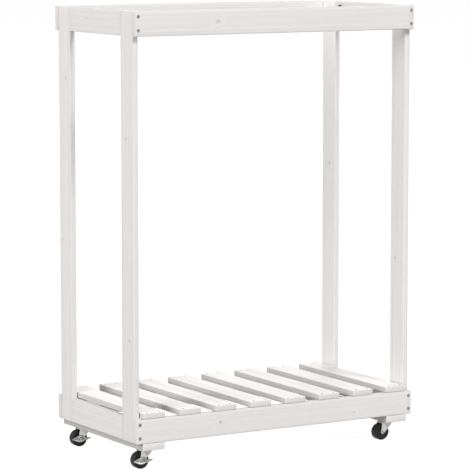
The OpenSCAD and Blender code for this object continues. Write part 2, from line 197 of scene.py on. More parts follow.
def place(name, mesh, material, node):
    """Puts a finished piece in the scene, in the stead of its CAD node and on its body."""
    piece = bpy.data.objects.new(name, mesh)
    bpy.context.scene.collection.objects.link(piece)
    mesh.materials.append(material)
    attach(piece, BODY_OF[node])
    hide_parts(node)
    return piece


def lathe(profile, turns=48, start=0.0):
    """A profile of (radius, height) pairs turned about +Z: x = r cos a, y = r sin a."""
    a = start + np.arange(turns) * 2 * math.pi / turns
    r, h = np.asarray(profile, float).T
    return np.stack([np.outer(r, np.cos(a)), np.outer(r, np.sin(a)),
                     np.broadcast_to(h[:, None], (len(r), turns))], -1)


def board_grid(size, seed, station=12 * MM):
    """A board along its longest side: a rectangle with rounded corners carried along it.
    At each end the outline shrinks along a quarter circle, and all along the board its
    width and thickness wander by a tenth of a millimetre on three slow sine waves."""
    chance = np.random.default_rng(seed)
    along = int(np.argmax(size))
    wide, thick = sorted((k for k in range(3) if k != along), key=lambda k: -size[k])
    length = size[along]
    ease = np.linspace(0, math.pi / 2, 4)
    ends = length / 2 - END_EASE * (1 - np.sin(ease))
    inner = np.linspace(-ends[0], ends[0], max(3, round(2 * ends[0] / station)))[1:-1]
    s = np.concatenate([-ends[::-1], inner, ends])
    inset = np.concatenate([END_EASE * (1 - np.cos(ease))[::-1], 0 * inner,
                            END_EASE * (1 - np.cos(ease))])
    corner = np.linspace(0, math.pi / 2, 5)
    flat = np.linspace(-1, 1, 7)[1:-1]
    outline = []
    for quarter in range(4):
        a = corner + quarter * math.pi / 2
        sx, sy = [(1, 1), (-1, 1), (-1, -1), (1, -1)][quarter]
        outline += [(sx, sy, math.cos(t), math.sin(t)) for t in a]
        side = [(-1, 0), (0, -1), (1, 0), (0, 1)][quarter]
        for t in flat:
            cx = -t if side[0] == -1 else t if side[0] == 1 else sx
            cy = -t if side[1] == -1 else t if side[1] == 1 else sy
            nx, ny = [(0, 1), (-1, 0), (0, -1), (1, 0)][quarter]
            outline.append((cx, cy, nx, ny))
    core_x, core_y, arc_x, arc_y = np.array(outline).T
    points = np.zeros((len(s), len(core_x), 3))
    waves = [(2 * math.pi * chance.uniform(0.6, 3.5), chance.uniform(0, 6.3)) for _ in range(3)]
    swell = sum(np.sin(k * s / 0.7 + phase) for k, phase in waves) / 3 * WANDER
    for k, core, arc in ((wide, core_x, arc_x), (thick, core_y, arc_y)):
        reach = size[k] / 2 - ARRIS
        points[:, :, k] = core * reach + np.outer(ARRIS - inset + swell - WANDER, arc)
    points[:, :, along] = s[:, None]
    return points


def aimed(points, spot, up):
    """The points turned so that their +Z runs along up, then moved to the spot."""
    up = np.array(up, float) / np.linalg.norm(up)
    side = np.cross((0, 1, 0) if abs(up[1]) < 0.9 else (1, 0, 0), up)
    side /= np.linalg.norm(side)
    return points[..., :1] * side + points[..., 1:2] * np.cross(up, side) + points[..., 2:] * up + spot


def carve(mesh, shells, how="DIFFERENCE", sharp=35):
    """The mesh with closed shells taken out of it, or joined to it."""
    body = bpy.data.objects.new("being_cut", mesh)
    tool = bpy.data.objects.new("cutter", make_mesh("cutter", shells))
    for o in (body, tool):
        bpy.context.scene.collection.objects.link(o)
    step = body.modifiers.new("carve", "BOOLEAN")
    step.operation, step.solver, step.object = how, "EXACT", tool
    done = bpy.data.meshes.new_from_object(body.evaluated_get(bpy.context.evaluated_depsgraph_get()))
    for o in (body, tool):
        spent = o.data
        bpy.data.objects.remove(o)
        bpy.data.meshes.remove(spent)
    done.shade_smooth()
    done.set_sharp_from_angle(angle=math.radians(sharp))
    return done


def painted_pine(name, centre, size, seed, knots, painted_edge_shade, painted_light_scale, dust_and_shade):
    """Pine under one thin coat of brushed white paint. The rings are a solid pattern about
    a pith outside the board, so the faces show long streaks and the ends show arcs. The
    paint is thinner over the hard rings and along the arrises. The narrow edges of some
    boards are painted darker as shade, and the joints get painted shade wherever another face
    stands close. The last three arguments set that painted edge shade, the paint's whiteness
    per board, which paints in light and shade, and the share of painted joint shade at the
    board's ends."""
    material, tree, surface = new_material(name)
    chance = np.random.default_rng(seed)
    along = int(np.argmax(size))
    wide, thick = sorted((k for k in range(3) if k != along), key=lambda k: -size[k])

    # Board coordinates in metres: x along the board, y across its width, z through it.
    own = add(tree, "TexCoord")
    shifted = add(tree, "VectorMath", {0: own.outputs["Object"], 1: centre}, operation="SUBTRACT")
    parts = add(tree, "SeparateXYZ", {0: shifted.outputs[0]})
    board = add(tree, "CombineXYZ",
                {0: parts.outputs[along], 1: parts.outputs[wide], 2: parts.outputs[thick]})

    # Each knot turns the rings round itself by a phase that grows towards its middle.
    phase, core = None, None
    for s, u, radius in knots:
        away = add(tree, "VectorMath", {0: board.outputs[0], 1: (s * MM, u * MM, 0)}, operation="SUBTRACT")
        squeezed = add(tree, "VectorMath", {0: away.outputs[0], 1: (0.7, 1, 0)}, operation="MULTIPLY")
        length = add(tree, "VectorMath", {0: squeezed.outputs[0]}, operation="LENGTH")
        near = add(tree, "MapRange", {0: length.outputs["Value"], 1: KNOT_PULL * radius * MM, 2: 0.0},
                   interpolation_type="SMOOTHSTEP")
        dark = add(tree, "MapRange",
                   {0: length.outputs["Value"], 1: 1.25 * radius * MM, 2: 0.6 * radius * MM},
                   interpolation_type="SMOOTHSTEP")
        phase = near.outputs[0] if phase is None else add(
            tree, "Math", {0: phase, 1: near.outputs[0]}, operation="ADD").outputs[0]
        core = dark.outputs[0] if core is None else add(
            tree, "Math", {0: core, 1: dark.outputs[0]}, operation="MAXIMUM").outputs[0]

    # Growth rings, drawn out along the board.
    pith = (chance.uniform(-1, 1), chance.uniform(-12, 12) * MM, chance.uniform(28, 55) * MM)
    stretched = add(tree, "Mapping",
                    {"Vector": board.outputs[0], "Scale": (GRAIN_STRETCH, 1, 1), "Location": pith})
    rings = add(tree, "TexWave", {"Vector": stretched.outputs[0], "Scale": WAVE_AT_SCALE_1 / RING_PITCH,
                                  "Distortion": 3.5, "Detail": 2.0, "Detail Scale": 0.25},
                wave_type="RINGS", rings_direction="X", wave_profile="SIN")
    if phase is not None:
        wound = add(tree, "Math", {0: phase, 1: KNOT_TURNS}, operation="MULTIPLY")
        tree.links.new(wound.outputs[0], rings.inputs["Phase Offset"])
    # Broad bands, and fibres drawn wider than they are so that they show.
    bands = add(tree, "TexNoise", {"Vector": stretched.outputs[0], "Scale": 1 / BAND_W, "Detail": 2.0})
    fibres = add(tree, "TexNoise", {"Vector": stretched.outputs[0], "Scale": 1 / FIBRE_W, "Detail": 2.0,
                                    "Roughness": 0.6})
    streaks = add(tree, "Math", {0: rings.outputs["Fac"], 1: bands.outputs["Fac"]}, operation="MULTIPLY")

    # The paint's whiteness is scaled per board as painted light and shade.
    full, scant = ((*(min(0.96, painted_light_scale * part) for part in linear(code)[:3]), 1.0)
                   for code in ("#EDEAE8", "#E6E1DD"))
    paint = add(tree, "Mix", {"Factor": streaks.outputs[0], 6: full, 7: scant}, data_type="RGBA")
    thin = add(tree, "MapRange", {0: fibres.outputs["Fac"], 1: 0.45, 2: 0.75, 3: 0.0, 4: 0.16})
    combed = add(tree, "Mix", {"Factor": thin.outputs[0], 6: paint.outputs[2], 7: linear("#D9D2C8")},
                 data_type="RGBA")
    colour = combed
    if core is not None:
        faint = add(tree, "Math", {0: core, 1: 0.4}, operation="MULTIPLY")
        colour = add(tree, "Mix", {"Factor": faint.outputs[0], 6: combed.outputs[2], 7: linear("#B3A392")},
                     data_type="RGBA")

    # Bare wood shows at the arrises, in patches: both distances to the faces are small.
    off_y = add(tree, "Math", {0: parts.outputs[wide]}, operation="ABSOLUTE")
    off_z = add(tree, "Math", {0: parts.outputs[thick]}, operation="ABSOLUTE")
    edge_y = add(tree, "MapRange", {0: off_y.outputs[0], 1: size[wide] / 2 - RUBBED_W, 2: size[wide] / 2})
    edge_z = add(tree, "MapRange", {0: off_z.outputs[0], 1: size[thick] / 2 - RUBBED_W, 2: size[thick] / 2})
    arris = add(tree, "Math", {0: edge_y.outputs[0], 1: edge_z.outputs[0]}, operation="MULTIPLY")
    patches = add(tree, "TexNoise", {"Vector": board.outputs[0], "Scale": 1 / PATCH_W, "Detail": 4.0})
    rubbed_and_lit = add(tree, "Math", {0: arris.outputs[0], 1: patches.outputs["Fac"]}, operation="MULTIPLY")
    worn = add(tree, "Mix", {"Factor": rubbed_and_lit.outputs[0], 6: colour.outputs[2], 7: linear("#D0C5B6")},
               data_type="RGBA")
    # Sawn ends drink the paint, and the narrow edges are painted darker as shade.
    facing = add(tree, "SeparateXYZ", {0: own.outputs["Normal"]})
    endways = add(tree, "Math", {0: facing.outputs[along]}, operation="ABSOLUTE")
    sawn = add(tree, "MapRange", {0: endways.outputs[0], 1: 0.6, 2: 0.95, 3: 0.0, 4: 0.04})
    whole = add(tree, "Mix", {"Factor": sawn.outputs[0], 6: worn.outputs[2], 7: linear("#CFC4B4")},
                data_type="RGBA")
    edgeways = add(tree, "Math", {0: facing.outputs[wide]}, operation="ABSOLUTE")
    edge_shade_mask = add(tree, "MapRange", {0: edgeways.outputs[0], 1: 0.5, 2: 0.95, 3: 0.0, 4: painted_edge_shade})
    edged = add(tree, "Mix", {"Factor": edge_shade_mask.outputs[0], 6: whole.outputs[2], 7: linear("#C5C1BC")},
                data_type="RGBA")
    # Painted shade in the joints, wherever another face stands close by, most of it at the ends.
    open_air = add(tree, "AmbientOcclusion", {"Distance": JOINT_REACH}, samples=6)
    ends = add(tree, "MapRange", {0: endways.outputs[0], 1: 0.3, 2: 0.8, 3: FACE_JOINT_SHADE, 4: dust_and_shade})
    shade_mask = add(tree, "MapRange", {0: open_air.outputs["AO"], 1: 0.93, 2: 0.6})
    joint_shade = add(tree, "Math", {0: shade_mask.outputs[0], 1: ends.outputs[0]}, operation="MULTIPLY")
    joint_shaded = add(tree, "Mix", {"Factor": joint_shade.outputs[0], 6: edged.outputs[2], 7: linear("#6F675E")},
                 data_type="RGBA")
    tree.links.new(joint_shaded.outputs[2], surface.inputs["Base Color"])

    gloss = add(tree, "MapRange", {0: streaks.outputs[0], 1: 0.0, 2: 0.6, 3: 0.5, 4: 0.66})
    tree.links.new(gloss.outputs[0], surface.inputs["Roughness"])
    relief = add(tree, "Math", {0: fibres.outputs["Fac"], 1: rings.outputs["Fac"]}, operation="ADD")
    bump = add(tree, "Bump", {"Height": relief.outputs[0], "Strength": 0.35, "Distance": 0.25 * MM})
    tree.links.new(bump.outputs[0], surface.inputs["Normal"])
    surface.inputs["IOR"].default_value = 1.47
    surface.inputs["Specular IOR Level"].default_value = 0.25
    return material


def screw_cutters(places, away, head_r, depth=SINK_DEPTH, sunk=0.0):
    """Countersunk recesses: at each place, a cone that narrows into the board, under a
    short flared mouth where the head is sunk below the face."""
    sink = head_r + COUNTERSINK_GAP
    profile = [(0, -depth - sunk), (sink - depth, -depth - sunk), (sink, -sunk), (sink + 0.6 * sunk, 0),
               (sink + 0.6 * sunk, 2 * MM), (0, 2 * MM)]
    return [shell(aimed(lathe(profile, 28), spot, away), capped=False) for spot in places]


def make_board(node, seed, knots, cutters=(), painted_edge_shade=0.7, dust_and_shade=FACE_JOINT_SHADE):
    """One painted board in the place of its CAD node."""
    low, high = (np.array(corner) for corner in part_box(node))
    centre, size = (low + high) / 2, high - low
    mesh = make_mesh(node, [shell(board_grid(size, seed) + centre)])
    if cutters:
        mesh = carve(mesh, list(cutters))
    material = painted_pine("white_painted_pine_" + node, centre, size, seed, knots, painted_edge_shade,
                            PAINTED_LIGHT_SCALES.get(node, 1.0), dust_and_shade)
    place("painted_" + node, mesh, material, node)


for node, (seed, knots) in POSTS.items():
    make_board(node, seed, knots, painted_edge_shade=0.0)


# Front and rear rails: four boards, a little thicker than the posts, that run the whole
# length and close the frame. Two countersunk screws at each end hold them to the posts'
# edges.

RAILS = {
    "top_front_rail": (11, [(-165, 1, 4.4)]),
    "top_rear_rail": (12, [(120, -5, 3.6), (-250, 8, 3.0)]),
    "bottom_front_rail": (13, [(-160, 3, 4.0), (215, -10, 2.6)]),
    "bottom_rear_rail": (14, [(60, 6, 3.8)]),
}
RAIL_HEAD_R = 4 * MM
RAIL_SUNK = 0.7 * MM
PAIR_OFFSET = 16 * MM
post_low, post_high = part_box("front_left_post")
screw_x = abs(post_low.x + post_high.x) / 2


def rail_screw_places(node):
    """The four screw heads of a long rail: on its outer face, in line with the posts."""
    low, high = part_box(node)
    outer = low.y if low.y < 0 else high.y
    middle = (low.z + high.z) / 2
    return [(x * screw_x, outer, middle + pair * PAIR_OFFSET) for x in (-1, 1) for pair in (-1, 1)]


for node, (seed, knots) in RAILS.items():
    places = rail_screw_places(node)
    out = -1 if places[0][1] < 0 else 1
    recesses = screw_cutters(places, (0, out, 0), RAIL_HEAD_R, sunk=RAIL_SUNK)
    # The rails' ends get a strong painted shade where they meet the posts.
    make_board(node, seed, knots, recesses, dust_and_shade=0.9)


# End rails: four short boards between the posts. Each end has two pocket holes on the
# inner face, drilled at a slope, and their screws pull the rail against the post.

END_RAILS = {
    "top_left_end_rail": (21, [(40, 5, 2.8)]),
    "top_right_end_rail": (22, []),
    "bottom_left_end_rail": (23, []),
    "bottom_right_end_rail": (24, [(-30, -8, 3.0)]),
}
POCKET_R = 4.75 * MM
POCKET_STOP = 13 * MM
POCKET_END = 60 * MM
POCKET_SLOPE = math.radians(15)


def in_pocket(points, node, y, pair):
    """Points about a pocket's axis, +Z back up the pocket from the joint with the post."""
    low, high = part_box(node)
    side = -1 if low.x < 0 else 1
    axis = np.array([-side * math.sin(POCKET_SLOPE), -y * math.cos(POCKET_SLOPE), 0])
    up = np.array((0, 0, 1))
    joint = np.array([(low.x + high.x) / 2, y * high.y, (low.z + high.z) / 2 + pair * PAIR_OFFSET])
    return points[..., :1] * np.cross(up, axis) + points[..., 1:2] * up + points[..., 2:] * axis + joint


hole = lathe([(0, POCKET_STOP), (POCKET_R, POCKET_STOP), (POCKET_R, POCKET_END), (0, POCKET_END)], turns=32)
for node, (seed, knots) in END_RAILS.items():
    pockets = [shell(in_pocket(hole, node, y, pair), capped=False) for y in (-1, 1) for pair in (-1, 1)]
    make_board(node, seed, knots, pockets)


# Slats: eight boards laid across the bottom rails to carry the logs. Two small screws go
# down through each end into the rails.

SLAT_HEAD_R = 3.2 * MM
SLAT_SINK_DEPTH = 2.0 * MM
SLATS = {
    "slat_1": (31, []),
    "slat_2": (32, [(60, 7, 2.6)]),
    "slat_3": (33, []),
    "slat_4": (34, [(-95, -9, 3.0)]),
    "slat_5": (35, []),
    "slat_6": (36, [(30, 5, 3.2)]),
    "slat_7": (37, [(-40, 10, 2.4)]),
    "slat_8": (38, []),
}
rail_y = sum(abs(corner.y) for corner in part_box("bottom_front_rail")) / 2


def slat_screw_places(node):
    """The four screw heads of a slat: on its top face, over the middle of the rails."""
    low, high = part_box(node)
    middle = (low.x + high.x) / 2
    return [(middle + pair * PAIR_OFFSET, y * rail_y, high.z) for y in (-1, 1) for pair in (-1, 1)]


for node, (seed, knots) in SLATS.items():
    recesses = screw_cutters(slat_screw_places(node), (0, 0, 1), SLAT_HEAD_R, SLAT_SINK_DEPTH)
    # The slats' narrow sides are painted darker as shade.
    make_board(node, seed, knots, recesses, painted_edge_shade=0.5)


# Caster boards: two boards under the bottom rails, one near each end, that carry the
# casters. Two screws at each end come up through them into the rails.

BOARD_HEAD_R = 4 * MM
CASTER_BOARDS = {"left_caster_board": 41, "right_caster_board": 42}


def board_screw_places(node):
    """The four screw heads of a caster board: on its underside, below the rails."""
    low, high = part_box(node)
    middle = (low.x + high.x) / 2
    return [(middle + pair * PAIR_OFFSET, y * rail_y, low.z) for y in (-1, 1) for pair in (-1, 1)]


for node, seed in CASTER_BOARDS.items():
    recesses = screw_cutters(board_screw_places(node), (0, 0, -1), BOARD_HEAD_R)
    # The caster boards' narrow sides are painted darkest, as shade under the end rails.
    make_board(node, seed, [], recesses, painted_edge_shade=1.0)


# Screws of the frame: steel wood screws with a cross recess, countersunk in all but the
# pockets. The rails' screws are passivated steel gone dull, and sit a little below the
# wood. The slats' and the caster boards' zinc-plated screws end flush with it.

THREAD_PITCH = 2.2 * MM
ROWS_PER_TURN = 8
TIP_L = 4 * MM
RAIL_SCREW_L = 40 * MM
SLAT_SCREW_L = 30 * MM
BOARD_SCREW_L = 35 * MM
POCKET_SCREW_L = 15 * MM
SHANK_R = 2 * MM
SLAT_SHANK_R = 1.6 * MM
POCKET_SHANK_R = 1.8 * MM
POCKET_HEAD_R = 4.2 * MM
POCKET_HEAD_T = 2.2 * MM
HEAD_RIM = 0.25 * MM


def thread(heights, outer, depth, pitch, turns=24):
    """A threaded rod about Z: at each height the radius is the core's, plus a ridge where
    the height, less the share of the pitch that the angle has reached, is a whole pitch."""
    a = np.arange(turns) * 2 * math.pi / turns
    phase = (heights[:, None] / pitch - a / (2 * math.pi)) % 1
    r = outer - depth + depth * np.clip(1.15 - np.abs(phase - 0.5) * 4, 0, 1)
    return np.stack([r * np.cos(a), r * np.sin(a), np.broadcast_to(heights[:, None], r.shape)], -1)


def cross_head(head_r, top, dome, rows=12, turns=24):
    """The top of a screw's head, from its centre to its rim: a shallow dome with a cross
    pressed into it where a point is near the X or the Y axis and within the arms."""
    a = np.arange(turns) * 2 * math.pi / turns
    r = np.linspace(0, head_r, rows)[:, None]
    x, y = r * np.cos(a), r * np.sin(a)
    near, far = np.minimum(abs(x), abs(y)), np.maximum(abs(x), abs(y))
    arm, half = 0.58 * head_r, 0.15 * head_r
    inside = np.clip(1.6 - near / half, 0, 1) * np.clip((arm - far) / (0.2 * arm), 0, 1)
    depth = 0.42 * head_r * inside * (1 - 0.45 * r / arm)
    return np.stack([x, y, top + dome * (1 - (r / head_r) ** 2) - depth], -1)


def screw(length, shank_r, head_r, under, top=0.0, dome=0.0):
    """A screw that points down -Z: its head's top, the profile under the rim down to the
    shank, given as (radius, height) pairs, then its thread, whose radius falls to the tip."""
    start = under[-1][1]
    heights = np.arange(start, -length, -THREAD_PITCH / ROWS_PER_TURN)
    rod = thread(heights, shank_r, 0.3 * shank_r, THREAD_PITCH)
    rod[..., :2] *= np.clip((heights + length) / TIP_L, 0.05, 1)[:, None, None]
    tip = np.zeros((1,) + rod.shape[1:]) + (0, 0, -length)
    return np.concatenate([cross_head(head_r, top, dome), lathe(under, 24), rod, tip])


def sunk_screw(length, shank_r, head_r):
    """A countersunk screw: a 45 degree cone under a thin rim."""
    tip = -HEAD_RIM - head_r
    under = [(head_r, -HEAD_RIM), (shank_r, tip + shank_r), (0.8 * shank_r, tip + 0.7 * shank_r)]
    return screw(length, shank_r, head_r, under)


def washer_screw(length, shank_r, head_r, head_t, seat=0.0):
    """A screw with a low domed head whose flat underside rests on a seat."""
    under = [(head_r, seat + 0.45 * head_t), (head_r, seat + 0.1 * head_t), (0.96 * head_r, seat),
             (0.8 * shank_r, seat)]
    return screw(length, shank_r, head_r, under, seat + 0.55 * head_t, 0.45 * head_t)


def steel(name, light, dark, metallic, gloss, mottle=4 * MM, painted_shade=0.0, rubbed_and_lit=None):
    """Plated or coated steel: the coat takes the light a little unevenly in soft patches
    a few millimetres wide, and fine scratches and dust make it dull in places. The next
    to last argument is the share of painted shade on faces that lean down and in narrow
    gaps, and the last is the lighter colour painted on faces that lean up, as painted light."""
    material, tree, surface = new_material(name)
    own = add(tree, "TexCoord")
    patches = add(tree, "TexNoise", {"Vector": own.outputs["Object"], "Scale": 1 / mottle, "Detail": 3.0})
    fine = add(tree, "TexNoise", {"Vector": own.outputs["Object"], "Scale": 1 / (0.5 * MM), "Detail": 2.0})
    spread = add(tree, "MapRange", {0: patches.outputs["Fac"], 1: 0.35, 2: 0.65})
    colour = add(tree, "Mix", {"Factor": spread.outputs[0], 6: linear(light), 7: linear(dark)},
                 data_type="RGBA")
    facing = add(tree, "SeparateXYZ", {0: own.outputs["Normal"]})
    # Painted light: faces that lean up are given a lighter, less metallic colour.
    if rubbed_and_lit:
        upward = add(tree, "MapRange", {0: facing.outputs[2], 1: 0.3, 2: 0.6})
        colour = add(tree, "Mix", {"Factor": upward.outputs[0], 6: colour.outputs[2], 7: linear(rubbed_and_lit)},
                     data_type="RGBA")
        bright = add(tree, "MapRange", {0: facing.outputs[2], 1: 0.3, 2: 0.6, 3: metallic, 4: 0.1})
        tree.links.new(bright.outputs[0], surface.inputs["Metallic"])
    # Painted shade: faces that lean down and narrow gaps are darkened.
    if painted_shade:
        downward = add(tree, "MapRange", {0: facing.outputs[2], 1: -0.05, 2: -0.25, 3: 0.0, 4: painted_shade})
        open_air = add(tree, "AmbientOcclusion", {"Distance": 2.5 * MM}, samples=6)
        narrow = add(tree, "MapRange", {0: open_air.outputs["AO"], 1: 0.65, 2: 0.3, 3: 0.0, 4: 0.9})
        shade_mask = add(tree, "Math", {0: downward.outputs[0], 1: narrow.outputs[0]}, operation="MAXIMUM")
        colour = add(tree, "Mix", {"Factor": shade_mask.outputs[0], 6: colour.outputs[2], 7: linear("#4A4744")},
                     data_type="RGBA")
    tree.links.new(colour.outputs[2], surface.inputs["Base Color"])
    rough = add(tree, "MapRange", {0: fine.outputs["Fac"], 1: 0.3, 2: 0.7, 3: gloss, 4: gloss + 0.16})
    tree.links.new(rough.outputs[0], surface.inputs["Roughness"])
    bump = add(tree, "Bump", {"Height": fine.outputs["Fac"], "Strength": 0.12, "Distance": 0.05 * MM})
    tree.links.new(bump.outputs[0], surface.inputs["Normal"])
    surface.inputs["Metallic"].default_value = metallic
    return material


DULL_STEEL = steel("dulled_passivated_steel", "#A3A19D", "#7E7B77", 0.85, 0.4)
BRIGHT_STEEL = steel("zinc_plated_screw_steel", "#8E8F90", "#767779", 0.9, 0.38)


def place_screws(node, grids, material):
    """All the screws of one CAD node, as one piece of separate closed shells."""
    mesh = make_mesh(node, [shell(grid, capped=False) for grid in grids], sharp=28)
    place("threaded_" + node, mesh, material, node)


rail_screw = sunk_screw(RAIL_SCREW_L, SHANK_R, RAIL_HEAD_R) - (0, 0, RAIL_SUNK)
for side, out in (("front", -1), ("rear", 1)):
    spots = rail_screw_places(f"top_{side}_rail") + rail_screw_places(f"bottom_{side}_rail")
    place_screws(f"{side}_rail_screws", [aimed(rail_screw, spot, (0, out, 0)) for spot in spots],
                 DULL_STEEL)

slat_screw = sunk_screw(SLAT_SCREW_L, SLAT_SHANK_R, SLAT_HEAD_R)
place_screws("slat_screws", [aimed(slat_screw, spot, (0, 0, 1)) for node in SLATS
                             for spot in slat_screw_places(node)], BRIGHT_STEEL)

board_screw = sunk_screw(BOARD_SCREW_L, SHANK_R, BOARD_HEAD_R)
place_screws("board_screws", [aimed(board_screw, spot, (0, 0, -1)) for node in CASTER_BOARDS
                              for spot in board_screw_places(node)], BRIGHT_STEEL)

pocket_screw = washer_screw(POCKET_SCREW_L, POCKET_SHANK_R, POCKET_HEAD_R, POCKET_HEAD_T, POCKET_STOP)
place_screws("pocket_screws", [in_pocket(pocket_screw, node, y, pair) for node in END_RAILS
                               for y in (-1, 1) for pair in (-1, 1)], BRIGHT_STEEL)


# Mounting plates: four squares of zinc-plated sheet with rounded corners, screwed up into
# the caster boards. A ring is pressed into each for the balls of the swivel bearing.

SHEET_T = 1.6 * MM
PLATE_CORNER_R = 4 * MM
PLATE_HOLE = (16 * MM, 14 * MM)
PLATE_HOLE_R = 2.2 * MM
KINGPIN_R = 3 * MM
BALL_RING_R = 9.5 * MM
BALL_DROP = 2.9 * MM
RACE_R = 1.68 * MM
RACE_RADII = np.linspace(7.6, 11.4, 11) * MM
PLATE_SCREW_L = 12 * MM
PLATE_HEAD_R = 3.6 * MM
PLATE_HEAD_T = 1.9 * MM
THROUGH = 3 * MM
EDGE = 0.3 * MM
CORNERS = ("front_left", "front_right", "rear_left", "rear_right")
BRAKED = ("front_left", "rear_left")
# The zinc gets painted shade on faces that lean down and in narrow gaps.
ZINC = steel("zinc_plated_pressed_sheet", "#E2E0DE", "#D0CECB", 0.6, 0.36, 6 * MM, painted_shade=0.38)


def swivel(corner):
    """The point on a caster's swivel axis that is level with the top of its plate."""
    low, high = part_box(corner + "_plate")
    return np.array([(low.x + high.x) / 2, (low.y + high.y) / 2, high.z])


def race_depth(r, level):
    """How far the balls' ring groove cuts past a flat face at this level and radius."""
    reach = np.clip(RACE_R ** 2 - (r - BALL_RING_R) ** 2, 0, None) ** 0.5
    return np.clip(reach - abs(level + BALL_DROP), 0, None)


def place_at_corners(part, mesh, material, corners=CORNERS):
    """A copy of a caster's part at each corner: it is made about the swivel axis."""
    for corner in corners:
        own = mesh.copy()
        own.transform(Matrix.Translation(swivel(corner)))
        place(f"{corner}_caster_{part}", own, material, f"{corner}_{part}")


def plate_grid(size_x, size_y, turns=96):
    """The plate as one closed ring: rows run from the kingpin's hole out over the top,
    round the edge and back under it, and pass from circles to the rounded rectangle."""
    a = (np.arange(turns) + 0.5) * 2 * math.pi / turns
    ray = np.stack([np.cos(a), np.sin(a)], -1)
    half = np.array([size_x, size_y]) / 2
    reach = (half / abs(ray)).min(1)
    corner = half - PLATE_CORNER_R
    dot = abs(ray) @ corner
    arc = dot + np.sqrt(np.clip(dot ** 2 - corner @ corner + PLATE_CORNER_R ** 2, 0, None))
    in_corner = (abs(ray) * reach[:, None] > corner).all(1)
    rim = np.where(in_corner, arc, reach)
    radii = np.concatenate([[KINGPIN_R, KINGPIN_R + 2 * MM], RACE_RADII, [13 * MM]])
    top = [(radii[0], 0)] + [(r, 0) for r in (6 * MM, 13 * MM)]
    under = [(r, -SHEET_T + race_depth(r, -SHEET_T)) for r in radii[::-1]]
    rows = [(np.full(turns, r), z) for r, z in top]
    rows += [(rim - EDGE, 0), (rim, -EDGE), (rim, EDGE - SHEET_T), (rim - EDGE, -SHEET_T)]
    rows += [(np.full(turns, r), z) for r, z in under] + [(np.full(turns, KINGPIN_R), 0)]
    return np.stack([np.column_stack([ray * r[:, None], np.full(turns, z)]) for r, z in rows])


def rod(radius, low, high, turns=32):
    """A plain round cutter along Z, from low to high."""
    return lathe([(0, low), (radius, low), (radius, high), (0, high)], turns)


low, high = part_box("front_left_plate")
hole_spots = [np.array([x * PLATE_HOLE[0], y * PLATE_HOLE[1], 0]) for x in (-1, 1) for y in (-1, 1)]
plate_holes = [shell(rod(PLATE_HOLE_R, -THROUGH, THROUGH) + spot, capped=False) for spot in hole_spots]
plate_blank = make_mesh("plate", [shell(plate_grid(high.x - low.x, high.y - low.y), capped=False)])
place_at_corners("plate", carve(plate_blank, plate_holes), ZINC)

plate_screw = washer_screw(PLATE_SCREW_L, SHANK_R, PLATE_HEAD_R, PLATE_HEAD_T) + (0, 0, SHEET_T)
place_screws("caster_screws", [aimed(plate_screw, swivel(corner) + spot, (0, 0, -1)) for corner in CORNERS
                               for spot in hole_spots], BRIGHT_STEEL)


# Kingpins and balls: each fork hangs on a steel rivet whose head is sunk in the plate and
# whose foot is peened under the fork, and turns on ten hard bright balls.

AXLE_STEEL = steel("turned_bright_steel", "#B4B6B8", "#9A9C9E", 1.0, 0.24)
KINGPIN_TOP_R = 4.4 * MM
KINGPIN_FOOT_R = 5 * MM
KINGPIN_FOOT_TOP = -6.1 * MM
KINGPIN_FOOT_T = 1.6 * MM

foot_low = KINGPIN_FOOT_TOP - KINGPIN_FOOT_T
kingpin = lathe([(0, 0), (KINGPIN_TOP_R, 0), (KINGPIN_R, -SHEET_T), (KINGPIN_R, KINGPIN_FOOT_TOP),
                 (KINGPIN_FOOT_R - EDGE, KINGPIN_FOOT_TOP), (KINGPIN_FOOT_R, KINGPIN_FOOT_TOP - EDGE),
                 (0.92 * KINGPIN_FOOT_R, foot_low + 0.5 * MM), (0.6 * KINGPIN_FOOT_R, foot_low + 0.12 * MM),
                 (0, foot_low)], 40)
kingpin_mesh = make_mesh("kingpins", [shell(kingpin + swivel(corner), capped=False) for corner in CORNERS])
place("peened_kingpins", kingpin_mesh, AXLE_STEEL, "kingpins")

BALL_R = 1.6 * MM
BALL_COUNT = 10
bend = np.linspace(-math.pi / 2, math.pi / 2, 11)
ball = lathe(np.column_stack([BALL_R * np.cos(bend), BALL_R * np.sin(bend)]), 16)
ring = [(BALL_RING_R * math.cos(t), BALL_RING_R * math.sin(t), -BALL_DROP)
        for t in np.arange(BALL_COUNT) * 2 * math.pi / BALL_COUNT]
ball_shells = [shell(ball + swivel(corner) + spot, capped=False) for corner in CORNERS for spot in ring]
balls_mesh = make_mesh("swivel_balls", ball_shells)
place("polished_swivel_balls", balls_mesh, AXLE_STEEL, "swivel_balls")


# Forks: each is one pressed strip of zinc-plated sheet, bent down twice into legs that
# taper to a round end at the axle, under a dished head with the lower ball race.

hub_low, hub_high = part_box("front_left_hub")
AXLE = np.array((hub_low + hub_high) / 2) - swivel("front_left")
HEAD_TOP = -4.2 * MM
HEAD_R = 17 * MM
LEG_MIDDLE = 11.8 * MM
LEG_BACK = -16 * MM
LEG_FRONT = 13 * MM
LEG_SHOULDER = -8.2 * MM
LEG_END_R = 4.6 * MM
BEND_R = 2.4 * MM
BORE_R = 2.56 * MM
PIN_BORE_R = KINGPIN_R + 0.06 * MM
FLARE_H = 15 * MM
FORK_REACH = 16 * MM


def leg_edge(heights, shoulder_x, way):
    """One edge of a leg: the tangent from its shoulder to the circle round the axle, then
    that circle. way is 1 for the front edge and -1 for the back one."""
    centre, shoulder = AXLE[[0, 2]], np.array([shoulder_x, LEG_SHOULDER])
    arm = shoulder - centre
    turn = math.atan2(arm[1], arm[0]) - way * math.acos(LEG_END_R / np.linalg.norm(arm))
    touch = centre + LEG_END_R * np.array([math.cos(turn), math.sin(turn)])
    circle = centre[0] + way * np.sqrt(np.clip(LEG_END_R ** 2 - (heights - centre[1]) ** 2, 0, None))
    line = np.interp(heights, [touch[1], shoulder[1]], [touch[0], shoulder[0]])
    return np.where(heights < touch[1], circle, line)


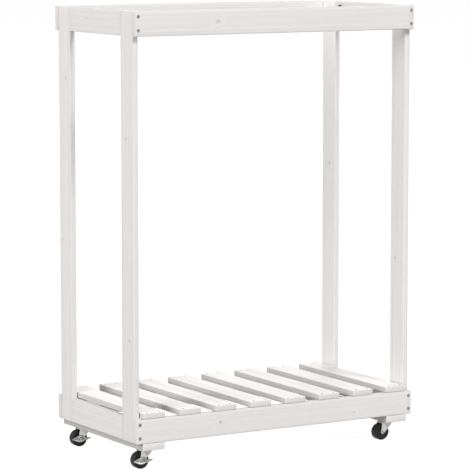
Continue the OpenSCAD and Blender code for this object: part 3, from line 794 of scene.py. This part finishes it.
def fork_strip():
    """The bent strip as one closed shell. Its middle line runs up one leg, over the head
    and down the other. At each step it spans from the back to the front edge, with small
    chamfers. Towards the head the legs flare out to its round rim, on a cone whose radius
    grows by what the rim has over the leg: each point moves out to the cone's half chord."""
    round_end = AXLE[2] - LEG_END_R * np.cos(np.linspace(0, 0.6 * math.pi, 14))
    climb = np.linspace(round_end[-1], HEAD_TOP - SHEET_T / 2 - BEND_R, 26)[1:]
    up_leg = np.concatenate([round_end, climb])
    leg = np.column_stack([np.full(len(up_leg), -LEG_MIDDLE), up_leg])
    head_z = HEAD_TOP - SHEET_T / 2
    over = filleted([leg[-1], (-LEG_MIDDLE, head_z), (0, head_z)], BEND_R, 6)[1:]
    half = np.concatenate([leg[:-1], over])
    line = np.concatenate([half, (half * (-1, 1))[-2::-1]])
    along = np.gradient(line, axis=0)
    along /= np.linalg.norm(along, axis=1)[:, None]
    out = np.column_stack([-along[:, 1], along[:, 0]])
    back, front = (leg_edge(line[:, 1], x, way) for x, way in ((LEG_BACK, -1), (LEG_FRONT, 1)))
    e = np.minimum(EDGE, (front - back) / 5)
    t = np.linspace(0, 1, 15)
    inner = back[:, None] + e[:, None] + t * (front - back - 2 * e)[:, None]
    x = np.column_stack([inner, front, front, inner[:, ::-1], back, back])
    h = SHEET_T / 2
    off = np.column_stack([np.full(inner.shape, h), h - e, e - h, np.full(inner.shape, -h), e - h, h - e])
    y = line[:, :1] + off * out[:, :1]
    z = line[:, 1:] + off * out[:, 1:]
    rise = np.clip((z - HEAD_TOP) / FLARE_H + 1, 0, 1)
    cone = LEG_MIDDLE + (HEAD_R - SHEET_T / 2 - LEG_MIDDLE) * rise
    chord = np.sqrt(np.clip(cone ** 2 - x ** 2, 0, None))
    y = y + np.sign(y) * np.clip(chord - LEG_MIDDLE, 0, None) * (abs(y) > LEG_MIDDLE - SHEET_T)
    return np.stack([x, y, z], -1)


low_face = HEAD_TOP - SHEET_T
head_profile = ([(PIN_BORE_R, low_face), (PIN_BORE_R, HEAD_TOP)]
                + [(r, HEAD_TOP - race_depth(r, HEAD_TOP)) for r in RACE_RADII]
                + [(HEAD_R - 1.2 * MM, HEAD_TOP), (HEAD_R - 0.4 * MM, HEAD_TOP - 0.3 * MM),
                   (HEAD_R, HEAD_TOP - 1.1 * MM), (HEAD_R, low_face - 0.5 * MM),
                   (HEAD_R - 1.2 * MM, low_face - 0.5 * MM), (HEAD_R - 1.4 * MM, low_face),
                   (PIN_BORE_R, low_face)])
head_shell = shell(lathe(head_profile, 64), capped=False)
axle_bore = shell(aimed(rod(BORE_R, -FORK_REACH, FORK_REACH), AXLE, (0, -1, 0)), capped=False)
pin_bore = shell(rod(PIN_BORE_R, low_face - 1 * MM, 0), capped=False)
fork_mesh = carve(make_mesh("fork", [shell(fork_strip())]), [head_shell], "UNION")
fork_mesh = carve(fork_mesh, [axle_bore, pin_bore])
place_at_corners("fork", fork_mesh, ZINC)


# Wheels: a black nylon hub that runs on the axle bolt, a thick disc with a boss that stands
# proud of it, and a black rubber tyre moulded round it with a crowned tread.

tyre_low, tyre_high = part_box("front_left_tyre")
WHEEL_R = (tyre_high.z - tyre_low.z) / 2
RIM_R = 14.5 * MM
TYRE_HALF = (tyre_high.y - tyre_low.y) / 2


def moulded(name, base, dust_and_shade, rough, pit):
    """Moulded rubber or plastic: nearly even and dark, with a fine spark-eroded texture and
    a little grey dust in soft patches."""
    material, tree, surface = new_material(name)
    own = add(tree, "TexCoord")
    clouds = add(tree, "TexNoise", {"Vector": own.outputs["Object"], "Scale": 1 / (7 * MM), "Detail": 4.0})
    pits = add(tree, "TexNoise", {"Vector": own.outputs["Object"], "Scale": 1 / pit, "Detail": 2.0})
    film = add(tree, "MapRange", {0: clouds.outputs["Fac"], 1: 0.45, 2: 0.75, 3: 0.0, 4: 0.6})
    colour = add(tree, "Mix", {"Factor": film.outputs[0], 6: linear(base), 7: linear(dust_and_shade)},
                 data_type="RGBA")
    tree.links.new(colour.outputs[2], surface.inputs["Base Color"])
    dull = add(tree, "MapRange", {0: clouds.outputs["Fac"], 1: 0.3, 2: 0.7, 3: rough, 4: rough + 0.15})
    tree.links.new(dull.outputs[0], surface.inputs["Roughness"])
    bump = add(tree, "Bump", {"Height": pits.outputs["Fac"], "Strength": 0.25, "Distance": 0.08 * MM})
    tree.links.new(bump.outputs[0], surface.inputs["Normal"])
    surface.inputs["Specular IOR Level"].default_value = 0.35
    return material


def both_sides(half):
    """The closed profile of a tyre or a hub, which are alike on both sides, from its half
    at heights above 0, given from the inside outwards."""
    half = np.array(half, float)
    return np.concatenate([half, (half * (1, -1))[::-1], half[:1]])


def arc(centre, radius, start, stop, steps):
    """Points on a circle between two angles in degrees."""
    a = np.radians(np.linspace(start, stop, steps))
    return [(centre[0] + radius * math.cos(t), centre[1] + radius * math.sin(t)) for t in a]


tyre_half = ([(RIM_R, TYRE_HALF - 0.8 * MM), (RIM_R + 0.25 * MM, TYRE_HALF - 0.75 * MM),
              (RIM_R + 0.6 * MM, TYRE_HALF - 0.2 * MM), (RIM_R + 1.0 * MM, TYRE_HALF)]
             + arc((WHEEL_R - 2.15 * MM, TYRE_HALF - 2 * MM), 2 * MM, 90, 8, 9)
             + [(WHEEL_R - 0.08 * MM, 4.5 * MM), (WHEEL_R - 0.02 * MM, 1.5 * MM)])
tyre = aimed(lathe(both_sides(tyre_half), 96), AXLE, (0, -1, 0))
place_at_corners("tyre", make_mesh("tyre", [shell(tyre, capped=False)]),
                 moulded("black_moulded_rubber", "#0A0A0A", "#151514", 0.5, 0.5 * MM))

boss = [(BORE_R, 10.5 * MM), (BORE_R + 0.3 * MM, 10.7 * MM), (5.1 * MM, 10.7 * MM), (5.5 * MM, 10.4 * MM)]
disc = [(5.7 * MM, 8.8 * MM), (6.3 * MM, 8.45 * MM), (11.4 * MM, 8.4 * MM), (12.1 * MM, 8.6 * MM)]
lip = [(12.5 * MM, 9.2 * MM), (12.9 * MM, 9.4 * MM), (14.1 * MM, 9.4 * MM), (RIM_R, 9.0 * MM)]
hub_half = boss + disc + lip
hub = aimed(lathe(both_sides(hub_half), 72), AXLE, (0, -1, 0))
place_at_corners("hub", make_mesh("hub", [shell(hub, capped=False)]),
                 moulded("black_moulded_nylon", "#101011", "#1F1E1E", 0.4, 0.9 * MM))


# Axle bolts and nuts: a low round head with a drilled centre in front, and a plain
# hexagon nut on the threaded tail behind.

LEG_OUT = LEG_MIDDLE + SHEET_T / 2
NUT_T = 3.6 * MM
NUT_HALF = 4 * MM
BOLT_R = 2.5 * MM
BOLT_HEAD_R = 3.4 * MM
BOLT_HEAD_T = 1.6 * MM
BOLT_PITCH = 0.8 * MM
BOLT_RIDGE = 0.35 * MM
RUNNING = 0.3 * MM
LEVER_T = 1.5 * MM
LEVER_OUT = LEG_OUT + RUNNING + LEVER_T


def axle_bolt(seat):
    """The bolt along Z with its head at the top: the drilled centre, the rounded head, the
    plain shank, and the thread on its tail."""
    head = ([(0, seat - 0.6 * MM), (1.1 * MM, seat - 0.6 * MM), (1.3 * MM, seat + BOLT_HEAD_T - 0.25 * MM),
             (1.55 * MM, seat + BOLT_HEAD_T)]
            + arc((BOLT_HEAD_R - 0.9 * MM, seat + BOLT_HEAD_T - 0.9 * MM), 0.9 * MM, 90, 0, 6)
            + [(BOLT_HEAD_R, seat + 0.2 * MM), (BOLT_HEAD_R - 0.2 * MM, seat), (BOLT_R, seat),
               (BOLT_R, -LEG_OUT)])
    heights = np.arange(-LEG_OUT, -LEG_OUT - NUT_T - 1.2 * MM, -BOLT_PITCH / ROWS_PER_TURN)
    tail = [(0.8 * BOLT_R, heights[-1] - 0.1 * MM), (0, heights[-1] - 0.1 * MM)]
    turned = thread(heights, BOLT_R, BOLT_RIDGE, BOLT_PITCH)
    return np.concatenate([lathe(head, 24), turned, lathe(tail, 24)])


for corner in CORNERS:
    seat = LEVER_OUT + RUNNING if corner in BRAKED else LEG_OUT
    bolt = shell(aimed(axle_bolt(seat), AXLE, (0, -1, 0)), capped=False)
    place_at_corners("axle_bolt", make_mesh("axle_bolt", [bolt]), AXLE_STEEL, [corner])


def hexagon_nut(turns=72):
    """A hexagon whose corners are turned off at 30 degrees on both faces: the radius is
    the flat's distance over the cosine of the angle from its middle."""
    a = np.arange(turns) * 2 * math.pi / turns
    hexagon = NUT_HALF / np.cos((a + math.pi / 6) % (math.pi / 3) - math.pi / 6)
    slope = (hexagon - NUT_HALF) * math.tan(math.pi / 6) + 0.05 * MM
    bore, mouth, face = (np.full(turns, r) for r in (BOLT_R, BOLT_R + 0.4 * MM, NUT_HALF - 0.1 * MM))
    flat = np.zeros(turns)
    rows = [(bore, flat + 0.4 * MM), (mouth, flat), (face, flat), (hexagon, slope),
            (hexagon, NUT_T - slope), (face, flat + NUT_T), (mouth, flat + NUT_T),
            (bore, flat + NUT_T - 0.4 * MM), (bore, flat + 0.4 * MM)]
    return np.stack([np.stack([r * np.cos(a), r * np.sin(a), z], -1) for r, z in rows])


nut = shell(aimed(hexagon_nut() + (0, 0, LEG_OUT), AXLE, (0, 1, 0)), capped=False)
place_at_corners("axle_nut", make_mesh("axle_nut", [nut], sharp=25), AXLE_STEEL)


# Brake levers: on each left-hand caster a zinc-plated sheet rocks on the axle bolt. It is a
# low plate with a hump over the bolt and a narrow heel towards the swivel, and a leaf along
# its lower edge is bent down and outward as a foot ledge. The sheet is a darker copy of the
# zinc, as painted shade, and the ledge's upward faces are painted lighter, as painted light.

LEVER_MIDDLE = LEVER_OUT - LEVER_T / 2
TOE, HEEL_ROOT, HEEL = np.array([[-22, -1.9], [13.5, -5.4], [27.5, -0.4]]) * MM
LEDGE_SLOPE = math.radians(42)
LEDGE_DROP = 5 * MM
LEVER_BEND_R = 1.6 * MM
LEVER_CUT = (11 * MM, 16 * MM)
CROWN = np.array([(-13, 4.8), (-4, 8.5), (3, 8.9), (9, 7.8), (12, 4), (13.5, 1.6), (26.5, 2.2),
                  (27.5, 0.8)]) * MM
NOTCHES = np.array([(-6.2, 0, 7.6), (10.4, 0, 6.9)]) * MM
NOTCH_R = 0.8 * MM
THINNEST = 0.05 * MM
# A darker copy of the fork's zinc, as painted shade, with painted light on the faces that lean up.
LEVER_STEEL = steel("zinc_plated_lever_sheet", "#ADABA8", "#84827F", 0.75, 0.34, 4 * MM, painted_shade=0.45,
                    rubbed_and_lit="#F6F5F3")


def lever_outline(corners, radius, x):
    """The height of a rounded polyline above each x."""
    line = filleted(np.array(corners), radius, 6)
    return np.interp(x, line[:, 0], line[:, 1])


def lever_grid(steps=96):
    """The bent lever as one closed shell. Each step along its length has a section: down
    the plate, round the bend, and down and out along the ledge. The ledge's drop is half a
    sine wave of the way from the toe to the heel's root."""
    x = TOE[0] + (HEEL[0] - TOE[0]) * (1 - np.cos(np.linspace(0, math.pi, steps))) / 2
    low = lever_outline([TOE, HEEL_ROOT, HEEL], 6 * MM, x)
    top = lever_outline(np.concatenate([[TOE + (0, 2 * MM)], CROWN]), 2 * MM, x)
    share = np.clip((x - TOE[0]) / (HEEL_ROOT[0] - TOE[0]), 0, 1)
    width = LEDGE_DROP * np.sin(math.pi * share ** 0.9) / math.sin(LEDGE_SLOPE)
    reach = np.clip(np.minimum(width, top - low) * 0.6, THINNEST, LEVER_BEND_R)
    down = np.linspace(0, 1, 14)
    turn = np.linspace(0, math.pi / 2 - LEDGE_SLOPE, 6)[1:]
    bend_y = reach[:, None] * (1 - np.cos(turn))
    bend_z = (low + reach)[:, None] - reach[:, None] * np.sin(turn)
    out = np.linspace(0, 1, 8)[1:] * np.clip(width - reach, THINNEST, None)[:, None]
    y = np.hstack([np.zeros((steps, 14)), bend_y, bend_y[:, -1:] + out * math.cos(LEDGE_SLOPE)])
    z = np.hstack([top[:, None] + down * (low + reach - top)[:, None], bend_z,
                   bend_z[:, -1:] - out * math.sin(LEDGE_SLOPE)])
    section = np.stack([y, z], -1)
    along = np.gradient(section, axis=1)
    along /= np.linalg.norm(along, axis=2, keepdims=True)
    side = np.stack([-along[..., 1], along[..., 0]], -1) * LEVER_T / 2
    ring = np.concatenate([section + side, (section - side)[:, ::-1]], axis=1)
    stations = np.broadcast_to(x[:, None], ring.shape[:2])
    return np.stack([stations, -LEVER_MIDDLE - ring[..., 0], ring[..., 1]], -1)


# A pressed collar stands up round the bolt's head: (radius, height) over the lever's face.
collar_profile = np.array([(4.7, -1), (4.9, 1.1), (5.2, 1.4), (5.8, 1.4), (6.3, 1.0), (6.6, 0), (6.6, -1),
                           (4.7, -1)]) * MM
collar = shell(aimed(lathe(collar_profile + (0, LEVER_OUT), 48), AXLE, (0, -1, 0)), capped=False)
cuts = [shell(aimed(rod(BORE_R, *LEVER_CUT), AXLE, (0, -1, 0)), capped=False)]
notch = rod(NOTCH_R, *LEVER_CUT, turns=16)
cuts += [shell(aimed(notch, AXLE + spot, (0, -1, 0)), capped=False) for spot in NOTCHES]
lever_mesh = carve(make_mesh("brake_lever", [shell(lever_grid() + AXLE)]), [collar], "UNION")
lever_mesh = carve(lever_mesh, cuts)
place_at_corners("brake_lever", lever_mesh, LEVER_STEEL, BRAKED)


# Studio: a plain white floor under a white sky, a soft key light in front and above, a
# wide soft light on the left, and a weaker one behind. The floor and the sky are seen
# white, but send less light back, as a large white room does a few metres away.

FLOOR_R = 60.0
FLOOR_T = 0.02
FLOOR_SEEN, FLOOR_SENT = 0.92, 0.17
SKY_SEEN, SKY_SENT = 1.0, 0.305
LIGHT_REACH = 14.0


def white_background(tree, seen, sent):
    """One strength where it is seen, straight or in gloss, and another for its soft light."""
    path = add(tree, "LightPath")
    return add(tree, "MapRange", {0: path.outputs["Is Diffuse Ray"], 3: seen, 4: sent}).outputs[0]


floor_white, tree, surface = new_material("white_studio_floor")
surface.inputs["Base Color"].default_value = (0.22, 0.22, 0.22, 1)
surface.inputs["Roughness"].default_value = 1.0
surface.inputs["Specular IOR Level"].default_value = 0.0
surface.inputs["Emission Color"].default_value = (1, 1, 1, 1)
tree.links.new(white_background(tree, FLOOR_SEEN, FLOOR_SENT), surface.inputs["Emission Strength"])
floor_profile = [(0, -FLOOR_T), (FLOOR_R, -FLOOR_T), (FLOOR_R, 0), (0, 0)]
floor_mesh = make_mesh("floor", [shell(lathe(floor_profile, 96), capped=False)])
floor_mesh.materials.append(floor_white)
floor = bpy.data.objects.new("floor", floor_mesh)
bpy.context.scene.collection.objects.link(floor)

world = bpy.data.worlds.new("white_studio_sky")
world.use_nodes = True
sky = world.node_tree
sky.nodes["Background"].inputs["Color"].default_value = (1, 1, 1, 1)
sky.links.new(white_background(sky, SKY_SEEN, SKY_SENT), sky.nodes["Background"].inputs["Strength"])
bpy.context.scene.world = world


def soft_light(name, toward, size, share):
    """A round soft light, some way off from the rack's middle. share is what it adds to a
    white surface that faces it, so its power is share times (pi times the distance)^2."""
    data = bpy.data.lights.new(name, "AREA")
    data.shape, data.size, data.energy = "DISK", size, share * (math.pi * LIGHT_REACH) ** 2
    light = bpy.data.objects.new(name, data)
    direction = Vector(toward).normalized()
    light.location = (cad_low + cad_high) / 2 + direction * LIGHT_REACH
    light.rotation_euler = direction.to_track_quat("Z", "Y").to_euler()
    bpy.context.scene.collection.objects.link(light)


soft_light("key", (0.14, -1, 1.0), 4.0, 0.585)
soft_light("left", (-1, -0.25, 0.42), 8.0, 0.58)
soft_light("rear", (0.7, 1, 0.7), 7.0, 0.22)

# Camera: to the left of the rack and in front of it, well back, with a long lens.

CAMERA_PLACE = (-3.3365, -5.5838, 1.2992)
CAMERA_TURN = math.radians(30.854)
CAMERA_DIP = math.radians(6.914)
CAMERA_LENS = 206.85
camera_data = bpy.data.cameras.new("camera")
camera_data.lens, camera_data.sensor_width = CAMERA_LENS, 36
camera = bpy.data.objects.new("camera", camera_data)
camera.location = CAMERA_PLACE
camera.rotation_euler = (math.pi / 2 - CAMERA_DIP, 0, -CAMERA_TURN)
bpy.context.scene.collection.objects.link(camera)
bpy.context.scene.camera = camera
bpy.context.scene.view_settings.view_transform = "Standard"
